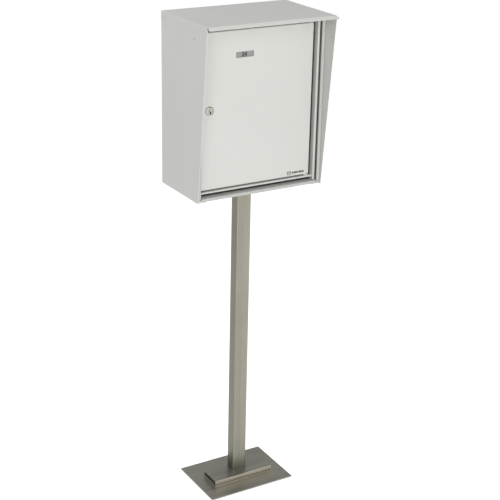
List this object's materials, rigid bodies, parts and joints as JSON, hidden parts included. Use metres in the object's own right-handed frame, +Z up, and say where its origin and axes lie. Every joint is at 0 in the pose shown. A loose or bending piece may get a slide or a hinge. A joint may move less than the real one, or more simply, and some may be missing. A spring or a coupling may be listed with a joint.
{
  "type": "post-mounted letter box",
  "caption": "Post-mounted sheet-metal letter box: canopy over an open mail slot, side-hinged locking front door with a name window, steel post on a flat base plate.",
  "frame": {"origin": "on the ground under the middle of the post, at the base plate's rest face", "axes": "+Z up the post, the door faces -Y, +X to the right of a person facing the door"},
  "size_m": [0.3536, 0.2395, 1.275],
  "materials": {
    "powder_coat": "light grey polyester powder coat, fine texture, satin",
    "casing_coat": "the same polyester powder, a shade darker on the inner casing",
    "stainless_post": "stainless steel, brushed along the post",
    "stainless_base": "stainless steel, coarse cross-brushed and slightly dull",
    "zinc_steel": "bright zinc-plated steel",
    "nickel": "satin nickel plate",
    "nylon": "natural nylon",
    "black_rubber": "matt black rubber",
    "clear_acrylic": "clear polished acrylic",
    "printed_card": "matt grey card with a dark number"
  },
  "bodies": {
    "cabinet": {"hood_shell": "powder_coat", "casing_back": "powder_coat", "frame_left_jamb": "powder_coat", "frame_right_jamb": "powder_coat", "frame_bottom_rail": "powder_coat", "frame_top_rail": "powder_coat", "strike_plate": "powder_coat", "casing_left_wall": "casing_coat", "casing_right_wall": "casing_coat", "casing_floor": "casing_coat", "hood_rivets": "casing_coat", "post_tube": "stainless_post", "post_head_plate": "stainless_post", "base_plate": "stainless_base", "foot_strip": "stainless_base", "foot_channel": "stainless_base", "hinge_bracket_upper": "zinc_steel", "hinge_bracket_lower": "zinc_steel", "cabinet_bolts": "zinc_steel", "cabinet_washers": "zinc_steel", "cabinet_nuts": "zinc_steel", "hinge_pin_lower": "zinc_steel", "hinge_pin_upper": "zinc_steel", "door_bumpers": "black_rubber"},
    "door": {"door_panel": "powder_coat", "name_window": "clear_acrylic", "name_card": "printed_card", "name_holder": "nylon", "hinge_bush_lower": "nylon", "hinge_bush_upper": "nylon", "lock_body": "nickel", "lock_nut": "nickel"},
    "lock": {"lock_plug": "nickel", "lock_cam": "zinc_steel", "cam_washer": "zinc_steel", "cam_screw": "zinc_steel"}
  },
  "joints": [
    {"name": "door_hinge", "type": "hinge", "parent": "cabinet", "child": "door", "pos_m": [0.1454, -0.066, 1.058], "axis": [0, 0, 1], "range_deg": [0, 100]},
    {"name": "lock_turn", "type": "hinge", "parent": "door", "child": "lock", "pos_m": [-0.1342, -0.058, 1.0626], "axis": [0, 1, 0], "range_deg": [0, 90]}
  ]
}
